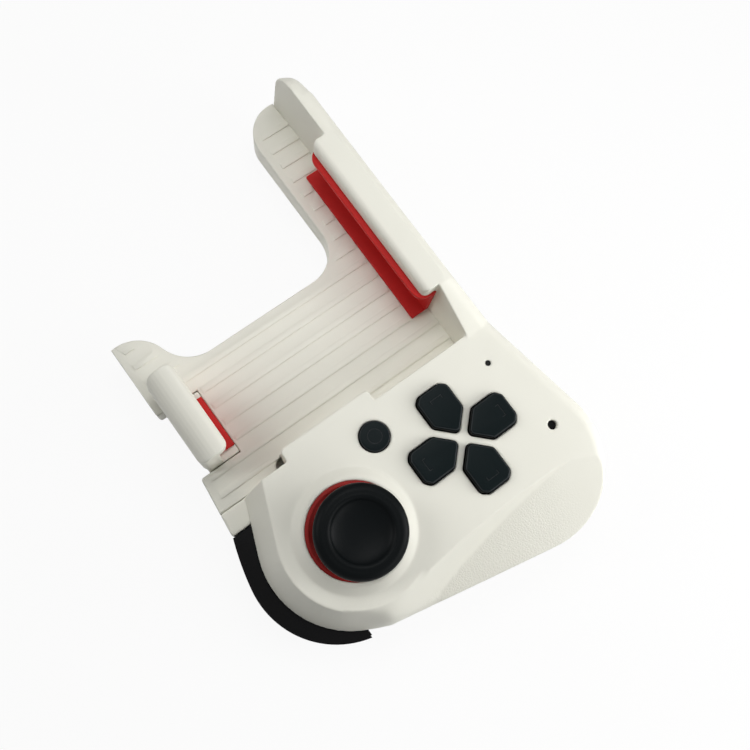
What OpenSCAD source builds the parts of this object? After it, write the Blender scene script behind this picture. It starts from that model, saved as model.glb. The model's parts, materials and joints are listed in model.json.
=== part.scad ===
// Clip-on game controller for one hand. A phone lies on a ribbed tray between a fixed jaw and a
// sprung sliding clamp. The body beside it carries a thumb stick, four direction keys, a home
// button and two shoulder triggers, one behind the other.
// X runs from the body towards the far end of the tray's arm, Y towards the clamp and the
// triggers, and Z up out of the front face. The flat back of the body rests on Z = 0.

/* [Heights] */
// Height of the phone tray's surface above the back
tray_top = 13.5; // [12.5:0.5:16]
// Rise of the body's front face above the tray's surface
face_rise = 11.8; // [10.8:0.2:14]
// Thickness of the tray, from its surface to its underside
tray_t = 7; // [6.6:0.2:8]
// Rise of the fixed jaw's top above the tray's surface
rail_rise = 19.3; // [18.6:0.1:22]
// Rise of the sliding clamp's top above the tray's surface
clamp_rise = 17; // [16:0.5:19]
// Wall thickness of the mouldings
wall = 1.8; // [1.4:0.1:2]

/* [Body] */
// Place along X of the body's face towards the phone
body_face_x = -14.5; // [-16.2:0.1:-13.2]
// Place of the thumb stick along X
stick_x = -37.5; // [-38.7:0.1:-36.7]
// Place of the thumb stick along Y
stick_y = 19.6; // [18.8:0.1:20.3]
// Radius of the body's rim round the stick
stick_round = 24.1; // [23.6:0.1:24.6]
// Place along X of the centre of the rounded heel
heel_x = -48.8; // [-50.2:0.1:-47.7]
// Place along Y of the centre of the rounded heel
heel_y = -25.1; // [-27.2:0.1:-24.2]
// Radius of the rounded heel
heel_round = 23; // [22:0.1:24]
// How far the flat front face lies inside the rim
rim_in = 5.2; // [4.4:0.1:5.6]
// Place along X of the ridge where the front face drops to the palm grip
ridge_x = -54.3; // [-55.2:0.1:-53.6]
// Radius of the ridge's long curve
ridge_round = 260; // [200:10:400]
// Slope of the band under the ridge, in degrees
band_slope = 55; // [48:1:60]
// Slope of the palm grip towards its edge, in degrees
grip_slope = 18; // [12:1:20]
// Slope of the palm grip from the heel towards the stick, in degrees
grip_fall = 9; // [6:0.5:10]

/* [Stick] */
// Diameter of the stick's cap
cap_d = 22.7; // [20:0.1:23]
// Thickness of the stick's cap
cap_h = 3.9; // [3.2:0.1:4.6]
// Gap between the collar and the cap
cap_gap = 4.1; // [3.9:0.1:5]
// Outer diameter of the liner ring in the collar
ring_d = 24; // [23.4:0.1:24.4]
// Rise of the collar above the front face
collar_rise = 1.5; // [1:0.1:1.6]
// Lean of the stick at rest, towards the heel, in degrees
stick_lean = 4.3; // [0:0.1:5]

/* [Keys] */
// Place of the key cross along X
pad_x = -35.1; // [-35.8:0.1:-34.6]
// Place of the key cross along Y
pad_y = -15.5; // [-16:0.1:-14.8]
// Distance from the middle of the cross to a key's point
key_near = 1.6; // [1.5:0.1:2.4]
// Distance from the middle of the cross to a key's outer end
key_far = 14.6; // [14.2:0.1:15.2]
// Width of a key
key_w = 9.4; // [9:0.1:10]
// Rise of the keys above the front face
key_rise = 1.8; // [1.4:0.1:2.4]
// Travel of the keys
key_travel = 1; // [0.6:0.1:1.2]
// Diameter of the home button
home_d = 7.6; // [7:0.1:8.6]
// Gap round the keys and buttons
key_gap = 0.25; // [0.2:0.05:0.5]

/* [Tray and jaws] */
// Place along Y of the fixed jaw's inner face
rail_y = -32.4; // [-33.2:0.1:-31.8]
// Thickness of the fixed jaw
rail_t = 5.2; // [4.6:0.1:6]
// Depth of the jaws' lips
lip_depth = 4.1; // [3.6:0.1:4.4]
// Place along X of the end of the tray's arm
arm_end_x = 71.8; // [69:0.1:75]
// Width of the tray's arm
arm_w = 11.35; // [10.6:0.05:12]
// Place along X of the cut-out's straight edge
cut_x = 22.3; // [21.8:0.1:24.8]
// Place along Y of the tray's edge on the clamp's side
tray_edge_y = 42.6; // [42.1:0.1:43.8]
// Distance from one rib to the next
rib_pitch = 5; // [4:0.1:6]
// Width of a rib
rib_w = 1.6; // [1.2:0.1:2]
// Height of a rib
rib_h = 0.3; // [0.2:0.05:0.4]
// Depth of the rubber pads' legs
pad_depth = 5.5; // [5:0.1:6]
// Thickness of the rubber pads
pad_t = 1.3; // [1:0.1:1.5]
// Length of the fixed jaw's pad
pad_len = 49.2; // [44:0.2:50]
// Width of the clamp's slider along X
slider_w = 19.1; // [17:0.1:19.6]
// Length of the clamp's hook along X
hook_len = 25.2; // [24.4:0.1:26]
// Outward travel of the clamp
clamp_travel = 25; // [15:1:27]

/* [Triggers] */
// Radius of the triggers' outer face
trigger_round = 23.9; // [23.5:0.1:24.4]
// Height of each trigger
trigger_h = 5.3; // [4.8:0.1:5.4]

/* [Fits and screws] */
// Running gap between sliding pieces
slide_gap = 0.3; // [0.25:0.05:0.4]
// Radial gap of pins and screws in their holes
pin_gap = 0.05; // [0.03:0.01:0.08]
// Diameter of the screws
screw_d = 2; // [1.6:0.1:2.2]
// Diameter of the screw heads
screw_head_d = 4; // [3.6:0.1:4.2]

/* [Hidden] */
$fn = 64;

// Colours
white_plastic = [0.91, 0.90, 0.87];
black_plastic = [0.08, 0.09, 0.10];
red_rubber = [0.66, 0.10, 0.10];
board_green = [0.10, 0.35, 0.20];
steel = [0.66, 0.67, 0.69];

// Levels
face_z = tray_top + face_rise;
ceiling_z = face_z - wall;
floor_z = wall;
tray_under = tray_top - wall;
cover_t = 1.5;
cover_bottom = tray_top - tray_t;
cover_top = cover_bottom + cover_t;
rib_top = tray_top + rib_h;
rail_top = tray_top + rail_rise;
board_t = 1.2;
board_drop = 0.3;
board_top = tray_top - board_drop;
board_bottom = board_top - board_t;
touch = 0.1;
overlap = 0.4;
beyond = 20;
reach = 60;

// Body outline
stick_c = [stick_x, stick_y];
heel_c = [heel_x, heel_y];
shoulder_angle = 68;
side_angle = 280.7;
heel_way = heel_c - stick_c;
edge_out = 0.65;
edge_round = stick_round + edge_out;
widen_angle = 150;
edge_angle = 360 + atan2(heel_way.y, heel_way.x) - acos((edge_round - heel_round) / norm(heel_way));
rim_steps = 9;
outline_steps = 24;

// Palm grip, which stops at a round platform under the stick
platform_in = 0.15;
ridge_y = -15;
ridge_c = [ridge_x - ridge_round, ridge_y];
grip_y = -33;
boss_sink = 0.9;
grip_end_x = heel_x - heel_round - beyond;

// Bump in the body's face beside the home button
bump_depth = 3.3;
bump_y = [-3.3, 23.2];
bump_round = 1.2;

// Stick
ring_r = ring_d / 2;
ring_slope = 3.8;
cap_r = cap_d / 2;
collar_top = face_z + collar_rise;
collar_top_r = ring_r + 1;
collar_base_r = ring_r + 3.4;
pivot_depth = 5.3;
pivot_z = face_z - pivot_depth;
cap_z = collar_top + cap_gap;
cap_top = cap_z + cap_h;
dish_r = 7.7;
dish_depth = 2;
base_w = 16.4;
base_wall = 1.5;
base_top = pivot_z + 1.8;
cradle_size = [7, 5, 4.4];
cradle_axle_r = 1.2;
arch_in = 4.6;
arch_t = 1.2;
arch_w = 4.4;
arch_axle_r = 1;
stem_r = 1.2;
stem_pin_r = 0.7;
stem_slot = stem_r + 0.25;
stem_foot = 3;
stem_sink = 1.4;
cap_hub_r = 3.2;
cap_hub_z = pivot_z + 6.8;
cap_neck_h = 0.9;
cap_edge_h = 0.7;
cap_edge_in = 1.9;
cap_round = 1.6;
arch_slot_y = 3.4;
cradle_slot_x = 2.6;

// Keys and buttons
key_corner = 1.4;
key_cut = [1.4, 1.7];
key_flange = 1;
flange_t = 1;
flange_top = ceiling_z - slide_gap;
flange_z = flange_top - flange_t;
membrane_t = 0.8;
membrane_r = 13.5;
dome_r = 3;
dome_h = 2.6;
dome_top = board_top + membrane_t + dome_h;
dome_at = 9;
plunger_r = 2;
press_gap = 0.1;
home_at = [-21.9, 2.2];
home_rise = 0.7;
home_travel = 0.6;
home_flange_r = home_d / 2 + 1.1;
reset_at = [-45.7, -36.3];
reset_hole_r = 1.25;
reset_r = 1;
reset_sink = 1;
reset_travel = 0.4;
reset_flange_r = 2.2;
switch_w = 6;
switch_h = 3.4;
switch_button_r = 1.7;
switch_button_h = 0.7;
switch_top = board_top + switch_h + switch_button_h;
light_at = [-23.6, -32.6];
light_r = 0.7;
light_flange_r = 1.6;
light_chip = [1.6, 1.2, 0.8];

// Tray outline
arm_round = 10;
arm_c = [arm_end_x - arm_round, rail_y + arm_w - arm_round];
arm_edge_y = rail_y + arm_w;
fillet_c = [cut_x + arm_round, arm_edge_y + arm_round];
lobe_round = 10;
lobe_c = [26.8, tray_edge_y - 1.5];
saddle_round = 10.5;
saddle_dx = lobe_c.x - cut_x - saddle_round;
saddle_c = [cut_x + saddle_round, lobe_c.y - sqrt(pow(lobe_round + saddle_round, 2) - pow(saddle_dx, 2))];
saddle_way = lobe_c - saddle_c;
saddle_angle = atan2(saddle_way.y, saddle_way.x);
rib_inset = 2.3;
rib_count = 16;
first_rib_in = 7.4;
first_rib_x = arm_end_x - first_rib_in;
tongue_in = 4;
tongue_y = [rail_y + 3, 31.8];

// Clamp
slot_gap = 0.25;
slot_len = 12.1;
slider_x = [-4, slider_w - 4];
slot_x = [slider_x[0] - slot_gap, slider_x[1] + slot_gap];
slot_y = tray_edge_y - slot_len;
head_in = 2.8;
head_y = [slot_y + touch, tray_edge_y - head_in];
head_sink = 0.2;
head_top = tray_top - head_sink;
bar_in = 0.5;
bar_x = [slider_x[0] + bar_in, slider_x[1] - bar_in];
bar_top = tray_under - slide_gap;
bar_bottom = cover_top + slide_gap;
bar_hold = 14;
bar_end_y = head_y[0] - clamp_travel - bar_hold;
guide_t = 1.2;
hook_x = [slider_x[0], slider_x[0] + hook_len];
hook_in = [1.8, 2.2];
hook_y = [slot_y + hook_in[0], tray_edge_y - hook_in[1]];
hook_top = tray_top + clamp_rise;
hook_lip_t = 3.4;
hook_reach = 3;
hook_wall_y = hook_y[0] + hook_reach;
hook_round = 5.5;
hook_corner = 2.4;
hook_lift = rib_h + slide_gap;
clamp_pad_in = [2.1, 1.9];
clamp_pad_x = [slider_x[0] + clamp_pad_in[0], slider_x[1] - clamp_pad_in[1]];

// Fixed jaw
rail_out_y = rail_y - rail_t;
rail_start_x = body_face_x;
ramp_x = -1.2;
taper_x = 20.8;
rail_end_x = arm_end_x;
rail_end_round = 8;
rail_end_lean = 2.6;
rail_round = 4;
rail_corner = 8;
lip_t = 4.8;
lip_z = rail_top - lip_t;
lip_corner = 3.4;
lip_x = [ramp_x + 0.3, ramp_x + pad_len];
fixed_pad_x = [ramp_x - 0.2, ramp_x - 0.2 + pad_len];
pad_edge_y = rail_y + pad_depth;

// Springs
spring_wire = 0.5;
spring_d = 3.4;
spring_anchor = [rail_y + 2.2, rail_y + 3.7];
spring_inset = 5;
clamp_spring_x = [bar_x[0] + spring_inset, bar_x[1] - spring_inset];
clamp_spring_y = [spring_anchor[1] + touch, bar_end_y - touch];
clamp_spring_z = (bar_top + bar_bottom) / 2;
clamp_curls = 13;
trigger_curls = 4;
curl_rings = 8;
wire_sides = 6;

// Triggers, whose outer face is a round with a flatter flank towards the tray
trigger_c = stick_c + [-0.7, 4.6];
bay_r = 18.5;
trigger_clear = 2.1;
trigger_in = bay_r + trigger_clear;
bay_angles = [38, 163.5];
flank_angle = 80.4;
flank_round = 76;
flank_c = on(trigger_c, trigger_round - flank_round, flank_angle);
trigger_tip = 10.8;
trigger_in_angle = 46;
trigger_floor_gap = 0.3;
rear_z = floor_z + trigger_floor_gap;
front_z = rear_z + trigger_h + slide_gap;
front_top = front_z + trigger_h;
rear_longer = 0.5;
pivot_out = 0.85;
pivot_angle = 50;
pivot = on(stick_c, trigger_in + pivot_out, pivot_angle);
eye_r = 2.6;
pin_r = 1;
pin_socket = 0.9;
shelf_t = 1.4;
shelf_z = tray_top - shelf_t;
shelf_x = [pivot.x - 4, pivot.x + eye_r + slide_gap];
shelf_y = [pivot.y - 2.2, pivot.y + 2];
ledge_x = [shelf_x[1], body_face_x];
trigger_end_x = ledge_x[0] - slide_gap;
flank_start = acos((trigger_end_x - flank_c.x) / flank_round);
flare_x = slot_x[0] - 1;
pocket_r = spring_d / 2 + 0.25;
pocket_depth = 4.6;
pocket_end_y = stick_y + trigger_in + pocket_depth;
trigger_spring_y = [stick_y + bay_r + touch, pocket_end_y - touch];
bay_switch_angle = 140;
bay_switch = [3.2, 4.6, 3];
bay_plunger_r = 0.8;
bay_plunger_end = bay_r + 0.4;
bay_board = [1.2, 11];
front_mid_z = front_z + 2.4;
rear_mid_z = rear_z + trigger_h / 2;

// Screws
screw_r = screw_d / 2;
boss_r = 3.2;
front_boss_r = 2.6;
shell_screw_at = [[-22.7, -26.7], [-22.7, 24.3], [-56.2, -29.2], [-56.7, 2.8]];
head_h = 1.4;
flat_head_h = 0.8;
shell_seat_z = 8;
shell_screw_top = face_z - 6.8;
tray_screw_at = [[-10.2, -25.2], [-10.2, 36.8], [27.8, 36.8], [19.8, 4.8], [58.8, -26.2]];
tray_seat_z = cover_bottom + 0.9;
rail_screw_at = [[8.8, -35.2], [40.8, -35], [64.8, -34.6]];
rail_screw_top = tray_top + 4;
tray_screw_top = tray_top - 0.9;

// Board parts
board_edge = 0.4;
port_w = 9;
port_h = 3.2;
port_len = 7.6;
port_back = 0.9;
port_shell_t = 0.4;
port_gap = 0.3;
port_along = 33;
chip_at = [-37.2, -32.2];
chip_size = [7, 7, 1];
radio_at = [-32.2, 4.8];
radio_size = [13, 9, 2];
battery_at = [-41.2, -13.2];
battery_size = [34, 21, 5];
battery_round = 1.5;
foam_t = 0.6;
strap_hole_at = [-13.8, 23.1];
strap_hole_r = 2.5;

// Shapes that repeat
function unit(v) = v / norm(v);
function on(c, r, a) = c + r * [cos(a), sin(a)];
function arc(c, r, from, to, steps) = [for (i = [0 : steps]) on(c, r, from + (to - from) * i / steps)];
function turn(v) = atan2(v.y, v.x);
function short_way(a) = (a + 540) % 360 - 180;
function corner(a, b, c, r, steps) =
    let (u = unit(a - b), v = unit(c - b), half = acos(u * v) / 2)
    let (m = b + unit(u + v) * r / sin(half), p = b + u * r / tan(half), q = b + v * r / tan(half))
    let (from = turn(p - m))
    arc(m, r, from, from + short_way(turn(q - m) - from), steps);
function rounded(p, r, steps = 6) =
    let (n = len(p))
    [for (i = [0 : n - 1]) each corner(p[(i + n - 1) % n], p[i], p[(i + 1) % n], r, steps)];
function around(c, half) = [c - half, c + half];
function box2(x, y) = [[x[0], y[0]], [x[1], y[0]], [x[1], y[1]], [x[0], y[1]]];

// Body outline drawn in by k round the stick and by h at the heel, up to x_end on the phone's side
function side_point(c, r, a, way, x_end) =
    let (p = on(c, r, a))
    p + [cos(way), sin(way)] * (x_end - p.x) / cos(way);
function body_outline(k, h, x_end) = concat(
    [side_point(stick_c, stick_round - k, shoulder_angle, shoulder_angle - 90, x_end)],
    arc(stick_c, stick_round - k, shoulder_angle, widen_angle, outline_steps / 2),
    [for (i = [1 : outline_steps / 2]) let (t = 2 * i / outline_steps, a = edge_angle - widen_angle)
        on(stick_c, stick_round - k + (edge_out + k - h) * t * t, widen_angle + a * t)],
    arc(heel_c, heel_round - h, edge_angle, side_angle, outline_steps),
    [side_point(heel_c, heel_round - h, side_angle, side_angle - 270, x_end)]);

// Tray outline drawn in by k, except along the fixed jaw and the body
function tray_outline(k) = concat(
    [[body_face_x, rail_y]],
    arc(arm_c, arm_round - k, asin((rail_y - arm_c.y) / (arm_round - k)), 90, outline_steps),
    arc(fillet_c, arm_round + k, 270, 180, outline_steps),
    arc(saddle_c, saddle_round + k, 180, saddle_angle, outline_steps),
    arc(lobe_c, lobe_round - k, saddle_angle - 180, asin((tray_edge_y - k - lobe_c.y) / (lobe_round - k)),
        outline_steps),
    [[flare_x, tray_edge_y - k], [body_face_x, flare_y(body_face_x) - k]]);

// Tray's edge beside the slot, which runs out to the end of the triggers
function flare_y(x) =
    let (rise = on(flank_c, flank_round, flank_start).y - tray_edge_y)
    tray_edge_y + rise * (flare_x - x) / (flare_x - trigger_end_x);

// Outline of a key that points along X, grown by g
function key_outline(g) =
    let (half = key_w / 2 + g, tip = key_near - g * sqrt(2), far = key_far + g, end = half - key_cut[1])
    rounded([[tip, 0], [tip + half, -half], [far - key_cut[0], -half], [far, -end], [far, end],
        [far - key_cut[0], half], [tip + half, half]], key_corner + g / 2);

// Straight bar with rounded upright edges between two corners in plan
module block(x, y, z, r) {
    translate([0, 0, z[0]]) linear_extrude(z[1] - z[0]) polygon(rounded(box2(x, y), r));
}

module box(x, y, z) {
    translate([x[0], y[0], z[0]]) cube([x[1] - x[0], y[1] - y[0], z[1] - z[0]]);
}

module rod(at, r, z) {
    translate([at.x, at.y, z[0]]) cylinder(r = r, h = z[1] - z[0]);
}

// Profile in Y and Z swept along X
module along_x(x, points) {
    translate([x[0], 0, 0]) rotate([90, 0, 90]) linear_extrude(x[1] - x[0]) polygon(points);
}

// Profile in X and Z swept along Y, both ways from the middle
module along_y(half, points) {
    rotate([90, 0, 0]) linear_extrude(2 * half, center = true) polygon(points);
}

// Closed form through a list of level outlines, each given as height and points
module loft(layers) {
    n = len(layers[0][1]);
    m = len(layers);
    sides = [for (i = [0 : m - 2], j = [0 : n - 1])
        let (k = (j + 1) % n, a = i * n, b = a + n)
        each [[a + j, b + j, a + k], [a + k, b + j, b + k]]];
    e = (m - 1) * n;
    bottom = [for (j = [1 : n - 2]) [0, j, j + 1]];
    top = [for (j = [1 : n - 2]) [e, e + j + 1, e + j]];
    polyhedron([for (l = layers, p = l[1]) [p.x, p.y, l[0]]], concat(sides, bottom, top));
}

// Height of the rim at step i, and its inset: straight round the stick and rounded at the heel
function slope_in_at(i) = rim_in * sin(90 * i / rim_steps);
function rim_in_at(i) = rim_in * (1 - cos(90 * i / rim_steps));
function rim_z_at(i, top) = tray_top + (top - tray_top) * sin(90 * i / rim_steps);

// Body form up to the top level, drawn in by k and carried on down by drop
module rim_form(k, top, x_end, drop) {
    foot = drop > 0 ? [[tray_top - drop, body_outline(k, k, x_end)]] : [];
    rim = [for (i = [0 : rim_steps])
        [rim_z_at(i, top), body_outline(k + slope_in_at(i), k + rim_in_at(i), x_end)]];
    loft(concat(foot, rim));
}

// Outer side of the sloping band at a level, out to the far side of the grip
function ridge_outline(z) =
    let (r = ridge_round - (face_z - z) / tan(band_slope), a = asin(reach / ridge_round))
    concat(arc(ridge_c, r, -a, a, outline_steps),
        [[grip_end_x, ridge_y + reach], [grip_end_x, ridge_y - reach]]);

// Height of the palm grip at a point
function grip_z(p) = face_z + (p.x - ridge_x) * tan(grip_slope)
    - (p.y - grip_y) * tan(grip_fall) / cos(grip_slope);

// Height of the front's outer side at a point, and of a screw boss that stays under it
function form_z(p) =
    min(face_z, max(grip_z(p), face_z - (ridge_round - norm(p - ridge_c)) * tan(band_slope)));
function boss_top(p) = min([for (a = [0 : 45 : 315]) form_z(on(p, front_boss_r, a))]) - boss_sink;

module grip_cut(d) {
    translate([0, 0, -d]) intersection() {
        loft([for (z = [tray_top - beyond, face_z + beyond]) [z, ridge_outline(z)]]);
        translate([ridge_x, grip_y, face_z]) rotate([-grip_fall, -grip_slope, 0])
            translate([-2 * reach, -2 * reach, 0]) cube([4 * reach, 4 * reach, reach]);
    }
}

// Round platform under the stick, with the same edge as the rim
module stick_platform(k, top, drop) {
    r = stick_round - platform_in - k;
    foot = drop > 0 ? [[r, tray_top - drop]] : [];
    edge = [[r, tray_top], [r - rim_in, top]];
    translate(stick_c) rotate_extrude() polygon(concat([[0, tray_top - drop]], foot, edge, [[0, top]]));
}

module body_form(k, top, x_end, drop) {
    difference() {
        rim_form(k, top, x_end, drop);
        grip_cut(k);
    }
    stick_platform(k, top, drop);
}

// Trigger bay in plan, grown by g into the body
module bay_plan(g) {
    widen = 3 * g;
    difference() {
        polygon(concat([stick_c],
            arc(stick_c, reach, bay_angles[0] - widen, bay_angles[1] + widen, outline_steps)));
        translate(stick_c) circle(r = bay_r - g);
    }
}

module cavity_plan(g) {
    difference() {
        polygon(body_outline(wall + g, wall + g, body_face_x - wall - g));
        bay_plan(wall + g);
    }
}

// Local frame on the body's lower edge: X points out of the edge
module at_lower_edge(along) {
    p = on(stick_c, edge_round, edge_angle);
    way = edge_angle + 90;
    translate(p + along * [cos(way), sin(way)]) rotate([0, 0, edge_angle]) children();
}

module at_stick() {
    translate([stick_x, stick_y, pivot_z]) children();
}

module leaning() {
    at_stick() rotate([0, -stick_lean, 0]) children();
}

module keyed(i) {
    translate([pad_x, pad_y, 0]) rotate([0, 0, 90 * i]) children();
}

// Coil of round wire along Z, one unbroken tube with flat ends
function coil_point(t, r, h, curls) = [r * cos(360 * curls * t), r * sin(360 * curls * t), h * t];
module coil(d, h, curls) {
    rings = curls * curl_rings;
    r = (d - spring_wire) / 2;
    rise = h - spring_wire;
    points = [for (i = [0 : rings], j = [0 : wire_sides - 1])
        let (t = i / rings, a = 360 * curls * t, b = 360 * j / wire_sides, w = spring_wire / 2)
        coil_point(t, r, rise, curls) + [w * cos(b) * cos(a), w * cos(b) * sin(a), w * sin(b) + w]];
    sides = [for (i = [0 : rings - 1], j = [0 : wire_sides - 1])
        let (k = (j + 1) % wire_sides, a = i * wire_sides, b = a + wire_sides)
        each [[a + j, b + j, a + k], [a + k, b + j, b + k]]];
    first = [for (j = [1 : wire_sides - 2]) [0, j, j + 1]];
    e = rings * wire_sides;
    last = [for (j = [1 : wire_sides - 2]) [e, e + j + 1, e + j]];
    echo(least_gap_of_coil = rise / curls - spring_wire);
    polyhedron(points, concat(sides, first, last));
}

module front_shell() {
    color(white_plastic) difference() {
        union() {
            difference() {
                body_form(0, face_z, body_face_x, 0);
                body_form(wall, ceiling_z, body_face_x - wall, overlap);
            }
            block([body_face_x - wall, body_face_x + bump_depth], bump_y, [tray_top, face_z], bump_round);
            translate(stick_c) rotate_extrude() polygon([[ring_r - touch, ceiling_z],
                [collar_base_r, ceiling_z], [collar_base_r, face_z], [collar_top_r, collar_top],
                [ring_r - touch, collar_top]]);
            for (p = shell_screw_at)
                rod(p, front_boss_r, [board_top, boss_top(p)]);
        }
        for (i = [0 : 3])
            keyed(i) translate([0, 0, ceiling_z - wall]) linear_extrude(3 * wall) polygon(key_outline(key_gap));
        rod(home_at, home_d / 2 + key_gap, [ceiling_z - wall, face_z + wall]);
        rod(reset_at, reset_hole_r, [ceiling_z - wall, face_z + wall]);
        rod(light_at, light_r + pin_gap, [ceiling_z - wall, face_z + wall]);
        rod(stick_c, ring_r + pin_gap, [tray_top, collar_top + wall]);
        for (p = shell_screw_at) rod(p, screw_r + pin_gap, [board_top - wall, shell_screw_top + wall]);
    }
}

module rear_shell() {
    back_in = 2.6;
    back_rise = 2.4;
    color(white_plastic) difference() {
        union() {
            difference() {
                loft([[0, body_outline(back_in, back_in, body_face_x)],
                    [back_rise / 3, body_outline(back_in / 3, back_in / 3, body_face_x)],
                    [back_rise, body_outline(0, 0, body_face_x)], [tray_top, body_outline(0, 0, body_face_x)]]);
                translate([0, 0, floor_z]) linear_extrude(tray_top) cavity_plan(0);
                translate([0, 0, floor_z]) linear_extrude(tray_top) bay_plan(0);
                box([body_face_x - beyond, body_face_x + wall], tongue_y + [-1, 1] * slide_gap,
                    [tray_under - touch, tray_top + wall]);
            }
            translate([0, 0, floor_z - overlap]) linear_extrude(tray_top - floor_z + overlap)
                polygon([[ledge_x[0], shelf_y[0]], [ledge_x[1], shelf_y[0]], [ledge_x[1], flare_y(ledge_x[1])],
                    [ledge_x[0], flare_y(ledge_x[0])]]);
            box([shelf_x[0], ledge_x[1]], shelf_y, [shelf_z, tray_top]);
            for (p = shell_screw_at) rod(p, boss_r, [floor_z - overlap, board_bottom]);
        }
        for (p = shell_screw_at) {
            rod(p, screw_head_d / 2 + slide_gap, [-wall, shell_seat_z]);
            rod(p, screw_r + slide_gap, [shell_seat_z - wall, board_bottom + wall]);
        }
        rod(pivot, pin_r + pin_gap, [pin_socket, tray_top - touch]);
        at_lower_edge(port_along) port_opening();
        for (z = [rear_mid_z, front_mid_z]) at_bay_switch(z)
            rotate([0, 90, 0]) cylinder(r = bay_plunger_r + slide_gap, h = 2 * bay_r);
    }
}

module port_opening() {
    w = port_w + 2 * port_gap;
    h = port_h + 2 * port_gap;
    translate([-port_len, 0, board_bottom - port_h / 2]) rotate([90, 0, 90]) linear_extrude(2 * port_len)
        polygon(rounded(box2([-w / 2, w / 2], [-h / 2, h / 2]), h / 2 - touch));
}

// Rounded outer corner at the end of the fixed jaw, up to its inner face
function rail_end_arc() = arc([rail_end_x - rail_corner, rail_out_y + rail_corner], rail_corner, 270,
    360 - asin((rail_out_y + rail_corner - rail_y) / rail_corner), 8);

module jaw_rail() {
    z = [cover_top, rail_top];
    section = concat([[rail_y, z[0]], [rail_y, z[1]]],
        arc([rail_out_y + rail_round, z[1] - rail_round], rail_round, 90, 180, 8), [[rail_out_y, z[0]]]);
    side_y = side_point(heel_c, heel_round, side_angle, side_angle - 270, body_face_x).y;
    foot = concat([[rail_y, z[0]], [rail_y, face_z]],
        [for (i = [rim_steps : -1 : 0]) [side_y + rim_in_at(i), rim_z_at(i, face_z)]], [[side_y, z[0]]]);
    color(white_plastic) difference() {
        union() {
            hull() {
                along_x([rail_start_x, rail_start_x + touch], foot);
                along_x([ramp_x, taper_x], section);
            }
            intersection() {
                along_x([ramp_x, rail_end_x], section);
                translate([0, 0, z[0]]) linear_extrude(rail_top) polygon(concat(
                    [[ramp_x, rail_y], [ramp_x, rail_out_y]], rail_end_arc()));
                along_y(reach, concat([[ramp_x, z[0]], [rail_end_x, z[0]]],
                    corner([rail_end_x, tray_top], [rail_end_x - rail_end_lean, z[1]], [ramp_x, z[1]],
                        rail_end_round, 8), [[ramp_x, z[1]]]));
            }
            intersection() {
                block(lip_x, [rail_y - rail_t / 2, rail_y + lip_depth], [lip_z, rail_top], lip_corner / 2);
                along_x(lip_x, concat([[rail_y - rail_t / 2, lip_z], [rail_y + lip_depth, lip_z]],
                    arc([rail_y + lip_depth - wall, rail_top - wall], wall, 0, 90, 6),
                    [[rail_y - rail_t / 2, rail_top]]));
            }
        }
        for (p = rail_screw_at) rod(p, screw_r + pin_gap, [cover_top - wall, rail_screw_top + wall]);
    }
}

module tray_ribs() {
    translate([0, 0, tray_top - touch]) linear_extrude(rib_h + touch) difference() {
        intersection() {
            polygon(tray_outline(rib_inset));
            for (i = [0 : rib_count - 1])
                translate([first_rib_x - rib_pitch * i, 0]) square([rib_w, 4 * reach], center = true);
        }
        polygon(box2(fixed_pad_x + [-1, 1] * slide_gap, [rail_y - wall, pad_edge_y + slide_gap]));
        polygon(box2(slot_x + [-1, 1], [slot_y - 1, tray_edge_y]));
        polygon(box2([body_face_x - wall, body_face_x + bump_depth + slide_gap], bump_y + [-1, 1] * slide_gap));
    }
}

module phone_tray() {
    color(white_plastic) difference() {
        union() {
            difference() {
                translate([0, 0, cover_top]) linear_extrude(tray_top - cover_top) polygon(tray_outline(0));
                translate([0, 0, cover_top - touch]) linear_extrude(tray_under - cover_top + touch)
                    polygon(tray_outline(wall));
            }
            box([body_face_x - tongue_in, body_face_x + overlap], tongue_y, [tray_under, tray_top]);
            for (p = tray_screw_at) rod(p, front_boss_r, [cover_top, tray_under + overlap]);
            tray_ribs();
        }
        box(slot_x, [slot_y, tray_edge_y + wall], [cover_top - wall, rib_top + wall]);
        rod(strap_hole_at, strap_hole_r, [cover_top, rib_top + wall]);
        for (p = tray_screw_at) rod(p, screw_r + pin_gap, [cover_top - wall, tray_screw_top]);
    }
}

module tray_cover() {
    z = [cover_bottom, cover_top];
    side_y = side_point(heel_c, heel_round, side_angle, side_angle - 270, body_face_x).y;
    guides = [bar_x[0] - slide_gap - guide_t, bar_x[1] + slide_gap];
    color(white_plastic) difference() {
        union() {
            translate([0, 0, z[0]]) linear_extrude(cover_t) polygon(concat(
                rail_end_arc(), [for (i = [1 : len(tray_outline(0)) - 1]) tray_outline(0)[i]],
                [[body_face_x, side_y], [taper_x, rail_out_y]]));
            for (x = guides) box([x, x + guide_t], [bar_end_y, slot_y], [z[0], tray_under - slide_gap]);
            box(bar_x, spring_anchor, [z[0], tray_under - slide_gap]);
        }
        box(slot_x, [head_y[1], tray_edge_y + wall], [z[0] - wall, z[1] + wall]);
        for (p = concat(tray_screw_at, rail_screw_at)) {
            rod(p, screw_head_d / 2 + slide_gap, [z[0] - wall, tray_seat_z]);
            rod(p, screw_r + slide_gap, [tray_seat_z - touch, z[1] + wall]);
        }
    }
}

// Rubber channel in Y and Z: a back with two legs that reach towards the phone
function channel(back, low_edge, top_edge, z, way) =
    [[back, z[0]], [low_edge, z[0]], [low_edge, z[0] + pad_t], [back + way * pad_t, z[0] + pad_t],
        [back + way * pad_t, z[1] - pad_t], [top_edge, z[1] - pad_t], [top_edge, z[1]], [back, z[1]]];

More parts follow.
